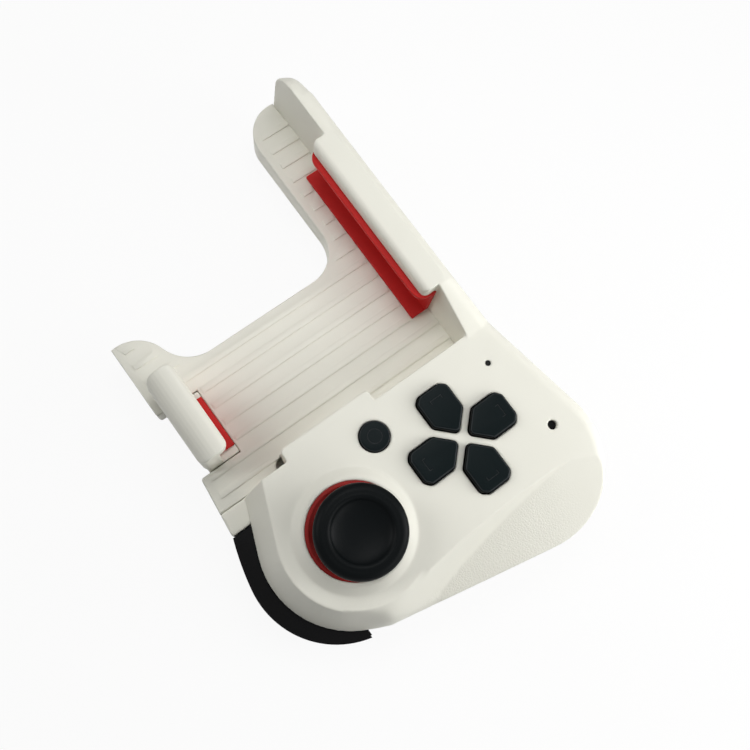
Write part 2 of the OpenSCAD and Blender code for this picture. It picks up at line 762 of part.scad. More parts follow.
module fixed_pad() {
    color(red_rubber) intersection() {
        along_x(fixed_pad_x, channel(rail_y, pad_edge_y, pad_edge_y, [tray_top, lip_z], 1));
        union() {
            box(fixed_pad_x, [rail_y, pad_edge_y], [tray_top, lip_z - 2 * pad_t]);
            block(fixed_pad_x, [rail_y - pad_depth, pad_edge_y], [lip_z - 2 * pad_t, lip_z], lip_corner);
        }
    }
}

module clamp_slider() {
    lip_z0 = hook_top - hook_lip_t;
    color(white_plastic) {
        box(bar_x, [bar_end_y, head_y[0] + overlap], [bar_bottom, bar_top]);
        block(slider_x, head_y, [bar_bottom, head_top], slide_gap);
        intersection() {
            block(hook_x, hook_y, [head_top - overlap, hook_top], hook_corner);
            along_x(hook_x, concat(
                [[hook_wall_y, head_top - overlap], [hook_wall_y, lip_z0], [hook_y[0], lip_z0]],
                arc([hook_y[0] + wall, hook_top - wall], wall, 180, 90, 6),
                arc([hook_y[1] - hook_round, hook_top - hook_round], hook_round, 90, 0, 8),
                [[hook_y[1], head_top - overlap]]));
            union() {
                box([hook_x[0], slider_x[1] - overlap], hook_y, [head_top - overlap, hook_top]);
                box(hook_x, hook_y, [tray_top + hook_lift, hook_top]);
            }
        }
    }
}

module clamp_pad() {
    z = [head_top, hook_top - hook_lip_t];
    color(red_rubber) along_x(clamp_pad_x, channel(hook_wall_y, head_y[0], hook_y[0] + touch, z, -1));
}

module clamp_springs() {
    color(steel) for (x = clamp_spring_x)
        translate([x, clamp_spring_y[0], clamp_spring_z]) rotate([-90, 0, 0])
            coil(spring_d - 2 * slide_gap, clamp_spring_y[1] - clamp_spring_y[0], clamp_curls);
}

module direction_key(i) {
    color(black_plastic) keyed(i) {
        translate([0, 0, flange_z]) linear_extrude(flange_t) polygon(key_outline(key_flange - key_gap));
        translate([0, 0, flange_z]) linear_extrude(face_z + key_rise - flange_z) polygon(key_outline(0));
        rod([dome_at, 0], plunger_r, [dome_top + key_travel + press_gap, flange_z + overlap]);
    }
}

module key_right() { direction_key(0); }

module key_up() { direction_key(1); }

module key_left() { direction_key(2); }

module key_down() { direction_key(3); }

module key_membrane() {
    color("gray") {
        rod([pad_x, pad_y], membrane_r, [board_top, board_top + membrane_t]);
        for (i = [0 : 3])
            keyed(i) translate([dome_at, 0, board_top])
                cylinder(r1 = dome_r, r2 = plunger_r, h = dome_top - board_top);
    }
}

module home_button() {
    color(black_plastic) {
        rod(home_at, home_flange_r, [flange_z, flange_top]);
        rod(home_at, home_d / 2, [flange_z, face_z + home_rise]);
        rod(home_at, switch_button_r, [switch_top + home_travel + press_gap, flange_z + overlap]);
    }
}

module reset_button() {
    color(black_plastic) {
        rod(reset_at, reset_flange_r, [flange_z, flange_top]);
        rod(reset_at, reset_r, [switch_top + reset_travel + press_gap, face_z - reset_sink]);
    }
}

module board_switches() {
    color("dimgray") for (p = [home_at, reset_at]) {
        translate([p.x - switch_w / 2, p.y - switch_w / 2, board_top]) cube([switch_w, switch_w, switch_h]);
        rod(p, switch_button_r, [board_top, switch_top]);
    }
}

module light_pipe() {
    color("lightcyan") {
        rod(light_at, light_r, [board_top + light_chip.z + press_gap, face_z - touch]);
        rod(light_at, light_flange_r, [ceiling_z - flange_t - touch, ceiling_z - touch]);
    }
}

// Heights here are counted from the pivot
module stick_cap() {
    under = cap_z - pivot_z;
    top = cap_top - pivot_z;
    hub = cap_hub_z - pivot_z;
    socket = under - stem_sink;
    edge_r = cap_r - cap_edge_in;
    color(black_plastic) leaning() rotate_extrude() polygon(concat(
        [[stem_r + pin_gap, hub], [cap_hub_r, hub], [cap_hub_r, under - cap_neck_h], [edge_r, under - touch],
            [cap_r, under + cap_edge_h]],
        arc([cap_r - cap_round, top - cap_round], cap_round, 0, 90, 5),
        [for (i = [0 : 5]) let (a = 18 * i) [dish_r * cos(a) + touch, top - dish_depth * sin(a)]],
        [[0, top - dish_depth], [0, socket], [stem_r + pin_gap, socket]]));
}

module stick_stem() {
    color(black_plastic) leaning() {
        translate([0, 0, -stem_foot]) cylinder(r = stem_r, h = stem_foot + cap_z - pivot_z - stem_sink - touch);
        rotate([90, 0, 0]) cylinder(r = stem_pin_r, h = cradle_size.y - touch, center = true);
    }
}

// Cradle that turns about X and carries the stem's pin
module stick_cradle() {
    color(white_plastic) at_stick() difference() {
        union() {
            cube(cradle_size, center = true);
            rotate([0, 90, 0]) cylinder(r = cradle_axle_r, h = base_w - 2 * touch, center = true);
        }
        cube([2 * cradle_slot_x, 2 * stem_slot, beyond], center = true);
        rotate([90, 0, 0]) cylinder(r = stem_pin_r + pin_gap, h = beyond, center = true);
    }
}

// Slotted arch that turns about Y with the stem
module stick_arch() {
    color(white_plastic) leaning() {
        difference() {
            rotate([0, 90, 0]) rotate([0, 0, 90]) rotate_extrude(angle = 180)
                translate([arch_in, -arch_w / 2]) square([arch_t, arch_w]);
            translate([-stem_slot, -arch_slot_y, 0]) cube([2 * stem_slot, 2 * arch_slot_y, beyond]);
        }
        for (s = [-1, 1])
            rotate([-90 * s, 0, 0]) translate([0, 0, arch_in + touch])
                cylinder(r = arch_axle_r, h = base_w / 2 - arch_in - 2 * touch);
    }
}

module stick_base() {
    half = base_w / 2;
    color(black_plastic) translate([stick_x, stick_y, 0]) difference() {
        box([-half, half], [-half, half], [board_top, base_top]);
        box([base_wall - half, half - base_wall], [base_wall - half, half - base_wall],
            [board_top + base_wall, base_top + wall]);
        translate([0, 0, pivot_z]) rotate([0, 90, 0])
            cylinder(r = cradle_axle_r + pin_gap, h = 2 * base_w, center = true);
        translate([0, 0, pivot_z]) rotate([90, 0, 0])
            cylinder(r = arch_axle_r + pin_gap, h = 2 * base_w, center = true);
    }
}

module stick_ring() {
    lip = 1;
    throat = ring_r - ring_slope;
    color(red_rubber) translate(stick_c) rotate_extrude() polygon([[ring_r, collar_top - touch],
        [ring_r, face_z - lip], [throat + lip, base_top + lip], [throat, base_top + lip],
        [throat, base_top + 2 * lip], [ring_r - lip, face_z + lip / 2], [ring_r - lip, collar_top - touch]]);
}

module main_board() {
    color(board_green) difference() {
        translate([0, 0, board_bottom]) linear_extrude(board_t) difference() {
            cavity_plan(board_edge);
            polygon(box2([body_face_x - tongue_in - board_edge, body_face_x], [-reach, reach]));
        }
        for (p = shell_screw_at) rod(p, screw_r + slide_gap, [board_bottom - wall, board_top + wall]);
    }
}

module board_chips() {
    color("dimgray") {
        translate([chip_at.x, chip_at.y, board_bottom - chip_size.z / 2]) cube(chip_size, center = true);
        translate([radio_at.x, radio_at.y, board_bottom - radio_size.z / 2]) cube(radio_size, center = true);
        translate([light_at.x, light_at.y, board_top + light_chip.z / 2]) cube(light_chip, center = true);
    }
}

module usb_port() {
    color(steel) at_lower_edge(port_along) translate([-port_back - port_len, 0, board_bottom - port_h / 2])
        rotate([90, 0, 90]) difference() {
            linear_extrude(port_len) port_shape(0);
            translate([0, 0, 2 * port_shell_t]) linear_extrude(port_len) port_shape(port_shell_t);
        }
}

module port_shape(k) {
    w = port_w / 2 - k;
    h = port_h / 2 - k;
    polygon(rounded(box2([-w, w], [-h, h]), h - touch));
}

module battery() {
    half = battery_size / 2;
    z = floor_z + foam_t;
    color("silver") block(around(battery_at.x, half.x), around(battery_at.y, half.y),
        [z, z + battery_size.z], battery_round);
}

module battery_foam() {
    half = battery_size / 2 - [2, 2, 0];
    color("black") block(around(battery_at.x, half.x), around(battery_at.y, half.y),
        [floor_z, floor_z + foam_t], battery_round);
}

// One shoulder trigger in plan
module trigger_plan(longer) {
    y = stick_y + trigger_tip - longer;
    out_angle = 180 - asin((y - trigger_c.y) / trigger_round);
    in_angle = 180 - asin((y - stick_y) / trigger_in);
    polygon(concat(arc(flank_c, flank_round, flank_start, flank_angle, outline_steps / 2),
        arc(trigger_c, trigger_round, flank_angle, out_angle, outline_steps),
        arc(stick_c, trigger_in, in_angle, trigger_in_angle, outline_steps)));
    translate(pivot) circle(r = eye_r);
}

module trigger(z, longer, mid_z) {
    difference() {
        translate([0, 0, z]) linear_extrude(trigger_h) trigger_plan(longer);
        rod(pivot, pin_r + pin_gap, [z - wall, z + trigger_h + wall]);
        translate([stick_x, stick_y, mid_z]) rotate([-90, 0, 0])
            cylinder(r = pocket_r, h = pocket_end_y - stick_y);
    }
}

module trigger_front() {
    color(black_plastic) difference() {
        trigger(front_z, 0, front_mid_z);
        box([shelf_x[0] - 1, ledge_x[1]], [shelf_y[0] - beyond, shelf_y[1] + slide_gap],
            [shelf_z - slide_gap, front_top + wall]);
    }
}

module trigger_rear() {
    color(black_plastic) trigger(rear_z, rear_longer, rear_mid_z);
}

module trigger_pin() {
    color(steel) rod(pivot, pin_r, [pin_socket + touch, tray_top - 2 * touch]);
}

module trigger_spring(z) {
    color(steel) translate([stick_x, trigger_spring_y[0], z]) rotate([-90, 0, 0])
        coil(spring_d, trigger_spring_y[1] - trigger_spring_y[0], trigger_curls);
}

module front_spring() { trigger_spring(front_mid_z); }

module rear_spring() { trigger_spring(rear_mid_z); }

module at_bay_switch(z) {
    translate([stick_x, stick_y, z]) rotate([0, 0, bay_switch_angle]) children();
}

module trigger_switches() {
    front_r = bay_r - wall - slide_gap;
    color("dimgray") for (z = [rear_mid_z, front_mid_z]) at_bay_switch(z) {
        translate([front_r - bay_switch.x, -bay_switch.y / 2, -bay_switch.z / 2]) cube(bay_switch);
        translate([front_r - touch, 0, 0]) rotate([0, 90, 0])
            cylinder(r = bay_plunger_r, h = bay_plunger_end - front_r);
    }
}

module trigger_board() {
    back_r = bay_r - wall - slide_gap - bay_switch.x - bay_board[0];
    color(board_green) at_bay_switch(0) translate([back_r, -bay_board[1] / 2, floor_z])
        cube([bay_board[0], bay_board[1], board_bottom - floor_z - overlap]);
}

// Screw with its head below the seat
module screw(at, seat, top, head) {
    rod(at, screw_head_d / 2, [seat - head, seat]);
    rod(at, screw_r, [seat - touch, top]);
}

module shell_screws() {
    color(steel) for (p = shell_screw_at) screw(p, shell_seat_z, shell_screw_top, head_h);
}

module tray_screws() {
    color(steel) for (p = tray_screw_at) screw(p, tray_seat_z, tray_screw_top - touch, flat_head_h);
}

module rail_screws() {
    color(steel) for (p = rail_screw_at) screw(p, tray_seat_z, rail_screw_top, flat_head_h);
}

front_shell();
rear_shell();
jaw_rail();
phone_tray();
tray_cover();
fixed_pad();
clamp_slider();
clamp_pad();
clamp_springs();
key_right();
key_up();
key_left();
key_down();
key_membrane();
home_button();
reset_button();
board_switches();
light_pipe();
stick_cap();
stick_stem();
stick_cradle();
stick_arch();
stick_base();
stick_ring();
main_board();
board_chips();
usb_port();
battery();
battery_foam();
trigger_front();
trigger_rear();
trigger_pin();
front_spring();
rear_spring();
trigger_switches();
trigger_board();
shell_screws();
tray_screws();
rail_screws();
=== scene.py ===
# %% [markdown]
# # A clip-on game controller
#
# The object is a small controller for one hand. A phone lies on its ribbed tray, between a fixed jaw
# and a sprung clamp. The CAD model gives every piece its size and place. This script keeps most
# hidden pieces as they are and models the visible ones again with the soft edges, engraved marks
# and surface finishes that moulded plastic and rubber have.

# %% Load the frame
import json
import math
import bpy
from mathutils import Matrix, Vector


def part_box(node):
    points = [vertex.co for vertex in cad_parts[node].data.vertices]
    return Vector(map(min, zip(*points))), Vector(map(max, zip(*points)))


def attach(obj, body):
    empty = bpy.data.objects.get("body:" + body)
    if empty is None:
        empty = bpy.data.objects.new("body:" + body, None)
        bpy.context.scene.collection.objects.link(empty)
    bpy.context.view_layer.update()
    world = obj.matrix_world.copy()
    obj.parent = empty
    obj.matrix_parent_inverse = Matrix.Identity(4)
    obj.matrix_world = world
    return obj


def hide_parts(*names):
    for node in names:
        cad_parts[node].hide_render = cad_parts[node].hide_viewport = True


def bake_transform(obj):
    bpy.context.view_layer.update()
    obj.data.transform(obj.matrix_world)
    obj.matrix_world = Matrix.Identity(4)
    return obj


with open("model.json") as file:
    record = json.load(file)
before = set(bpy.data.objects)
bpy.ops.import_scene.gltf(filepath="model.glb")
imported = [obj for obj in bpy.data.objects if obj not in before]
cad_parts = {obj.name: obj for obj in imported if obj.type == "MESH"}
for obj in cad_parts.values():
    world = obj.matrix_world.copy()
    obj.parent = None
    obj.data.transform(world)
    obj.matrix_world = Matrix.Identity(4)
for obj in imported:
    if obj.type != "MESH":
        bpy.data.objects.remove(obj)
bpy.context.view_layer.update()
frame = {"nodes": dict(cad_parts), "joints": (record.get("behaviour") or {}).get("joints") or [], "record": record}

nodes = frame["nodes"]
mm = 0.001

# %% [markdown]
# ## Writing shader maths as plain arithmetic
#
# A material is a graph, but it reads better as a formula. `Wire` wraps one output socket, so
# `1 - mask` adds a Math node by itself. `Finish` owns the graph of one material or of the world, and
# its `add` method makes any other node from its type, its settings and the values of its sockets.

# %% Wires
class Wire:
    def __init__(self, finish, socket):
        self.finish, self.socket = finish, socket

    def calc(self, operation, a, b):
        return self.finish.add("ShaderNodeMath", {"operation": operation}, {0: a, 1: b})

    def __add__(self, other):
        return self.calc("ADD", self, other)

    def __radd__(self, other):
        return self.calc("ADD", other, self)

    def __sub__(self, other):
        return self.calc("SUBTRACT", self, other)

    def __rsub__(self, other):
        return self.calc("SUBTRACT", other, self)

    def __mul__(self, other):
        return self.calc("MULTIPLY", self, other)

    def __rmul__(self, other):
        return self.calc("MULTIPLY", other, self)

    def __truediv__(self, other):
        return self.calc("DIVIDE", self, other)

    def held(self):
        return self.finish.add("ShaderNodeClamp", {}, {"Value": self})


# %% Finishes
class Finish:
    def __init__(self, owner, skin="Principled BSDF"):
        owner.use_nodes = True
        self.owner, self.tree = owner, owner.node_tree
        self.skin = self.tree.nodes[skin]

    def add(self, kind, settings, inputs, out=0):
        node = self.tree.nodes.new(kind)
        for name, value in settings.items():
            setattr(node, name, value)
        for name, value in inputs.items():
            self.feed(node.inputs[name], value)
        return Wire(self, node.outputs[out])

    def feed(self, socket, value):
        if isinstance(value, Wire):
            self.tree.links.new(value.socket, socket)
        else:
            socket.default_value = value

    def wear(self, **inputs):
        for name, value in inputs.items():
            self.feed(self.skin.inputs[name.replace("_", " ")], value)
        return self.owner

    def place(self):
        return self.add("ShaderNodeTexCoord", {}, {}, out="Object")

    def along(self, axis):
        return self.add("ShaderNodeSeparateXYZ", {}, {0: self.place()}, out=axis)

    def noise(self, scale, detail):
        sockets = {"Vector": self.place(), "Scale": scale, "Detail": detail, "Roughness": 0.55}
        return self.add("ShaderNodeTexNoise", {}, sockets)

    def tint(self, mask, low, high):
        low, high = [shade if isinstance(shade, Wire) else (*shade, 1) for shade in (low, high)]
        return self.add("ShaderNodeMix", {"data_type": "RGBA"}, {0: mask, 6: low, 7: high}, out=2)

    def bumped(self, height, distance):
        return self.add("ShaderNodeBump", {}, {"Height": height, "Distance": distance, "Strength": 1.0})

    def seen(self):
        rays = ("Is Camera Ray", "Is Glossy Ray", "Is Transmission Ray")
        direct, glossy, through = [self.add("ShaderNodeLightPath", {}, {}, out=ray) for ray in rays]
        return (direct + glossy + through).held()


def finish_named(name):
    return Finish(bpy.data.materials.new(name))


# %% [markdown]
# ## White moulded plastic
#
# The shell is a warm white plastic with the fine matt texture of an etched mould. Two noises do it:
# a slow one shifts colour and gloss a little from place to place, and a fine one makes the bump.
# The palm grip also has a leather-like grain, so its finish adds cells where the grip begins, measured
# from the ridge along the object's own axes. The grain fades towards the heel.

# %% White plastic
WHITE_LOW, WHITE_HIGH = (0.795, 0.786, 0.700), (0.835, 0.826, 0.741)
GRAIN_HEIGHT = 4.2


def white_plastic(name, grain=None):
    finish = finish_named(name)
    patches = finish.noise(scale=55, detail=2)
    pores = finish.noise(scale=2600, detail=4)
    height = pores
    gloss = 0.40 + 0.10 * patches + 0.06 * pores
    if grain:
        mask, cells = grain(finish)
        height = pores * (1 - 0.5 * mask) + mask * cells * GRAIN_HEIGHT
        gloss = gloss + 0.05 * mask
    return finish.wear(
        Base_Color=finish.tint(patches, WHITE_LOW, WHITE_HIGH),
        Roughness=gloss,
        Specular_IOR_Level=0.25,
        Normal=finish.bumped(height, 0.012 * mm),
    )


white = white_plastic("white_plastic")
print("finish:", white.name, "with", len(white.node_tree.nodes), "nodes")

# %% Grain of the palm grip
RIDGE_X, RIDGE_LEAN, RIDGE_FADE = -59.5 * mm, 0.151, 0.6 * mm
PARTING_Z, PARTING_FADE = 14.2 * mm, 0.8 * mm
HEEL_Y, HEEL_FADE = -34 * mm, 14 * mm
CELL_SCALE, CELL_EDGE = 1500.0, 3.2
WARP_SCALE, WARP_REACH = 900.0, 0.5 * mm


def grip_grain(finish):
    along, across, level = [finish.along(axis) for axis in "XYZ"]
    past = RIDGE_X - RIDGE_LEAN * across - along
    mask = (past / RIDGE_FADE).held() * ((level - PARTING_Z) / PARTING_FADE).held()
    mask = mask * ((across - HEEL_Y) / HEEL_FADE).held()
    sockets = {"Vector": finish.place(), "Scale": WARP_SCALE}
    warp = finish.add("ShaderNodeTexNoise", {}, sockets, out="Color")
    offset = finish.add("ShaderNodeVectorMath", {"operation": "SCALE"}, {0: warp, "Scale": WARP_REACH})
    spot = finish.add("ShaderNodeVectorMath", {"operation": "ADD"}, {0: finish.place(), 1: offset})
    sockets = {"Vector": spot, "Scale": CELL_SCALE}
    cells = finish.add("ShaderNodeTexVoronoi", {"feature": "DISTANCE_TO_EDGE"}, sockets)
    return mask, (cells * CELL_EDGE).held()


white_grip = white_plastic("white_plastic_grained_grip", grip_grain)
print("finish:", white_grip.name, "with", len(white_grip.node_tree.nodes), "nodes")

# %% [markdown]
# ## Black plastic, stick rubber and red rubber
#
# The keys and triggers are a near-black plastic, and the keys have a hint of blue. The stick's cap is
# rubber of nearly the same colour. The pads are a red silicone, and the stick's liner is the same red darkened
# to about half, which is painted shade for the recess it sits in. In each of them the gloss changes slightly over
# the surface, because an even gloss is what makes plastic look unreal. On the keys and the home button a painted
# highlight lightens a band just below the top edge and painted shade turns the sides deep black, and the depth
# below the top is enough to tell where each begins.

# %% Painted highlight and shade on the edges of keys
# Colour of the painted edge highlight and of the painted side shade, and the depths below the top where each
# begins.
PAINTED_EDGE_HIGHLIGHT, PAINTED_SIDE_SHADE = (0.030, 0.034, 0.036), (0.0002, 0.0003, 0.0004)
RIM_START, RIM_RISE = 0.03 * mm, 0.05 * mm
RIM_END, RIM_FALL = 0.30 * mm, 0.08 * mm
SKIRT_START, SKIRT_RISE = 0.32 * mm, 0.12 * mm
key_top, home_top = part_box("key_right")[1].z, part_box("home_button")[1].z
print("tops:", round(key_top / mm, 2), "mm for the keys and", round(home_top / mm, 2), "mm for the button")


# Paints a highlight on a narrow band just below the top and paints deep shade on the sides further down.
def painted_edge_highlight_and_shade(finish, colour, top):
    drop = top - finish.along("Z")
    painted_highlight_mask = ((drop - RIM_START) / RIM_RISE).held() * ((RIM_END - drop) / RIM_FALL).held()
    painted_shade_mask = ((drop - SKIRT_START) / SKIRT_RISE).held()
    return finish.tint(painted_shade_mask, finish.tint(painted_highlight_mask, colour, PAINTED_EDGE_HIGHLIGHT), PAINTED_SIDE_SHADE)


# %% Black plastic and stick rubber
def moulded(name, low, high, gloss, spread, pore_scale, depth, shine=0.5, top=None):
    finish = finish_named(name)
    patches = finish.noise(scale=90, detail=2)
    pores = finish.noise(scale=pore_scale, detail=3)
    colour = finish.tint(patches, low, high)
    return finish.wear(
        Base_Color=painted_edge_highlight_and_shade(finish, colour, top) if top else colour,
        Roughness=gloss + spread * patches + 0.5 * spread * pores,
        Specular_IOR_Level=shine,
        Normal=finish.bumped(pores, depth * mm),
    )


# The keys and the home button carry the painted edge highlight and the painted side shade.
key_black, home_black = [
    moulded(
        name, (0.0006, 0.0036, 0.0042), (0.0018, 0.0052, 0.0060),
        gloss=0.30, spread=0.12, pore_scale=2600, depth=0.008, shine=0.07, top=top,
    )
    for name, top in (("satin_black_plastic", key_top), ("satin_black_button", home_top))
]
trigger_black = moulded(
    "matt_black_plastic", (0.0016, 0.0016, 0.0018), (0.0032, 0.0032, 0.0035),
    gloss=0.46, spread=0.12, pore_scale=2200, depth=0.012, shine=0.07,
)
stick_rubber = moulded(
    "stick_rubber", (0.0006, 0.0014, 0.0017), (0.0016, 0.0026, 0.0030),
    gloss=0.30, spread=0.14, pore_scale=3200, depth=0.012, shine=0.06,
)
print("black finishes:", key_black.name, home_black.name, trigger_black.name, stick_rubber.name)

# %% Red rubber
# The liner's red is darkened to about half of the pads' red. This is painted shade for the recess in the collar.
red_rubber, liner_red_painted_shade = [
    moulded(name, low, high, gloss=0.50, spread=0.14, pore_scale=2400, depth=0.014, shine=0.2)
    for name, low, high in (
        ("red_rubber", (0.500, 0.0165, 0.0150), (0.575, 0.0210, 0.0190)),
        ("red_liner_painted_shade", (0.230, 0.0110, 0.0090), (0.275, 0.0140, 0.0120)),
    )
]
print("red finishes:", red_rubber.name, liner_red_painted_shade.name)

# %% [markdown]
# ## Finishes of the hidden works
#
# A circuit board is green lacquer over copper tracks, so a brick pattern lightens thin lines. Steel
# has fine drawing marks along one axis. The chips are dull black epoxy, and the battery is wrapped in
# a pale film with soft creases. Rubber domes, foam and the status light's lens are mouldings like those
# above.

# %% Board and steel
def board_lacquer():
    finish = finish_named("board_lacquer")
    sockets = {"Vector": finish.place(), "Scale": 160.0, "Mortar Size": 0.03}
    tracks = finish.add("ShaderNodeTexBrick", {}, sockets, out="Fac")
    grain = finish.noise(scale=700, detail=2)
    return finish.wear(
        Base_Color=finish.tint(tracks * 0.8 + 0.2 * grain, (0.012, 0.085, 0.035), (0.05, 0.20, 0.085)),
        Roughness=0.32 + 0.12 * grain,
        Normal=finish.bumped(tracks, 0.03 * mm),
    )


def drawn_steel():
    finish = finish_named("drawn_steel")
    stretch = finish.add("ShaderNodeMapping", {}, {"Vector": finish.place(), "Scale": (900, 900, 60)})
    lines = finish.add("ShaderNodeTexNoise", {}, {"Vector": stretch, "Scale": 3.0, "Detail": 4.0})
    return finish.wear(
        Base_Color=finish.tint(lines, (0.50, 0.51, 0.53), (0.66, 0.67, 0.69)),
        Metallic=1.0,
        Roughness=0.24 + 0.16 * lines,
        Normal=finish.bumped(lines, 0.008 * mm),
    )


lacquer = board_lacquer()
steel = drawn_steel()
print("finishes:", lacquer.name, steel.name)

# %% Rubber domes, foam, lens, chips and film
grey_rubber = moulded(
    "grey_rubber", (0.16, 0.16, 0.16), (0.21, 0.21, 0.20),
    gloss=0.55, spread=0.12, pore_scale=1800, depth=0.012,
)
dark_foam = moulded(
    "dark_foam", (0.018, 0.018, 0.018), (0.035, 0.035, 0.034),
    gloss=0.80, spread=0.12, pore_scale=1500, depth=0.05,
)
smoked_lens = moulded(
    "smoked_lens", (0.006, 0.006, 0.006), (0.011, 0.011, 0.010),
    gloss=0.22, spread=0.08, pore_scale=1500, depth=0.003, shine=0.1,
)
epoxy = moulded(
    "chip_epoxy", (0.012, 0.012, 0.013), (0.022, 0.022, 0.023),
    gloss=0.55, spread=0.15, pore_scale=1500, depth=0.02,
)
film = moulded(
    "battery_film", (0.55, 0.57, 0.60), (0.68, 0.70, 0.72),
    gloss=0.30, spread=0.20, pore_scale=260, depth=0.08,
)
by_slot = {
    "white_plastic": white, "black_plastic": trigger_black, "red_rubber": red_rubber,
    "grey_rubber": grey_rubber, "dark_foam": dark_foam, "clear_plastic": smoked_lens,
    "board": lacquer, "components": epoxy, "steel": steel, "battery_wrap": film,
}
for part in frame["record"]["subparts"]:
    nodes[part["node"]].material_slots[0].material = by_slot[part["material_slot"]]
print("finishes:", len(by_slot), "slots")

# %% [markdown]
# ## A bench with a few tools
#
# Every piece is made in the same way: start from a copy of a CAD solid or from a profile, select
# something in edit mode, and run an operator on it. These helpers keep those steps short. The loader
# leaves all CAD nodes selected and operators act on whatever is selected, so the helpers first select
# one piece alone.

# %% Selecting, editing and applying modifiers
def alone(piece):
    bpy.ops.object.select_all(action="DESELECT")
    piece.select_set(True)
    bpy.context.view_layer.objects.active = piece


def carve(piece, kind, **settings):
    alone(piece)
    modifier = piece.modifiers.new(kind.title(), kind)
    for name, value in settings.items():
        setattr(modifier, name, value)
    bpy.ops.object.modifier_apply(modifier=modifier.name)


def pick(piece, part, test):
    alone(piece)
    bpy.ops.object.mode_set(mode="EDIT")
    bpy.ops.mesh.select_mode(type=part)
    bpy.ops.mesh.select_all(action="DESELECT")
    bpy.ops.object.mode_set(mode="OBJECT")
    mesh = piece.data
    for item in {"VERT": mesh.vertices, "EDGE": mesh.edges, "FACE": mesh.polygons}[part]:
        item.select = test(item)
    bpy.ops.object.mode_set(mode="EDIT")


def done():
    bpy.ops.object.mode_set(mode="OBJECT")


# %% Casting a piece from a CAD solid
MERGE = 0.002 * mm
FLAT_ANGLE = math.radians(0.3)


def piece_from(name, mesh):
    piece = bpy.data.objects.new(name, mesh)
    bpy.context.scene.collection.objects.link(piece)
    return piece


def cast(name, node):
    mesh = nodes[node].data.copy()
    mesh.materials.clear()
    piece = piece_from(name, mesh)
    pick(piece, "VERT", lambda vertex: True)
    bpy.ops.mesh.customdata_custom_splitnormals_clear()
    bpy.ops.mesh.remove_doubles(threshold=MERGE)
    bpy.ops.mesh.dissolve_limited(angle_limit=FLAT_ANGLE)
    done()
    return piece


# %% Finishing a piece
def triangles(piece):
    piece.data.calc_loop_triangles()
    return len(piece.data.loop_triangles)


def settle(piece, body, finish, stands_for=(), angle=35):
    alone(piece)
    bpy.ops.object.shade_smooth_by_angle(angle=math.radians(angle))
    piece.data.materials.clear()
    piece.data.materials.append(finish)
    if body:
        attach(piece, body)
    if stands_for:
        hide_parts(*stands_for)
    print(piece.name, triangles(piece), "triangles")


# %% [markdown]
# ## The front of the body and the fixed jaw
#
# On the real thing the jaw's ramp flows into the body with no joint, so the two solids become one
# skin. The jaw's foot is pushed into the body's wall, the pair is joined, and a voxel remesh fuses
# them. A few rounds of smoothing then melt every sharp edge into the small radius of a mould. The tip of
# the jaw and the corner of the body beside the stick are much rounder. There a vertex group
# weights many more rounds, so the crease spreads out and the rest keeps its shape.

# %% Body and jaw in one skin
FOOT_PUSH = 1.0 * mm


def skin_over(piece, voxel, rounds):
    carve(piece, "REMESH", mode="VOXEL", voxel_size=voxel * mm)
    carve(piece, "SMOOTH", factor=0.5, iterations=rounds)


front = cast("body_front", "front_shell")
jaw = cast("jaw_part", "jaw_rail")
foot_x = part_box("jaw_rail")[0].x
pick(jaw, "VERT", lambda vertex: vertex.co.x < foot_x + 0.05 * mm)
bpy.ops.transform.translate(value=(-FOOT_PUSH, 0, 0))
done()
alone(front)
jaw.select_set(True)
bpy.ops.object.join()
skin_over(front, voxel=0.28, rounds=3)
print("front skin:", triangles(front), "triangles before thinning")

# %% Where the skin is rounder
TIP_X, TIP_X_FADE = 60 * mm, 1.5 * mm
TIP_Y, TIP_Y_FADE = -33.4 * mm, 0.5 * mm
TIP_Z = 18 * mm
CORNER_AT, CORNER_REACH = Vector((-59, 23, 20)) * mm, 13 * mm
CORNER_Z, CORNER_Z_FADE = 14 * mm, 1 * mm
COLLAR_RADIUS, COLLAR_FADE = 18.6 * mm, 1.5 * mm
joint_at = {joint["name"]: joint.get("pos_m") for joint in frame["joints"]}
stick_at = Vector(joint_at["stick_tilt_y"])
print("stick pivot:", [round(value / mm, 2) for value in stick_at], "mm")


def softness(place):
    if place.x > TIP_X and place.z > TIP_Z:
        return min((place.x - TIP_X) / TIP_X_FADE, (TIP_Y - place.y) / TIP_Y_FADE)
    near = 1 - (place - CORNER_AT).to_2d().length / CORNER_REACH
    past_collar = ((place - stick_at).to_2d().length - COLLAR_RADIUS) / COLLAR_FADE
    return min(2 * near, past_collar, (place.z - CORNER_Z) / CORNER_Z_FADE)


# %% Rounder tip and corner
def melt(piece, rounds, amount):
    group = piece.vertex_groups.new(name="soft")
    for vertex in piece.data.vertices:
        share = amount(vertex.co)
        if share > 0:
            group.add([vertex.index], min(share, 1), "REPLACE")
    carve(piece, "SMOOTH", factor=0.5, iterations=rounds, vertex_group="soft")
    piece.vertex_groups.clear()


def thin(piece, most):
    many = triangles(piece)
    if many > most:
        carve(piece, "DECIMATE", ratio=most / many)


melt(front, rounds=700, amount=softness)
thin(front, most=190000)
settle(front, "housing", white_grip, ("front_shell", "jaw_rail"), angle=180)

# %% [markdown]
# ## The back of the body
#
# The back is a plain tub. It gets the same treatment, because its rim has to meet the front with
# the same softness.

# %% Rear shell
back = cast("body_back", "rear_shell")
skin_over(back, voxel=0.40, rounds=4)
thin(back, most=120000)
settle(back, "housing", white, ("rear_shell",), angle=180)

# %% [markdown]
# ## The ribbed tray
#
# The ribs stand only 0.3 mm proud, which a remesh would wash out. So the tray keeps its exact
# outline, and bevels soften it instead: a wide one at the corners of the clamp's slot, one along the outer
# edge, and a small one on everything else that is still sharp.

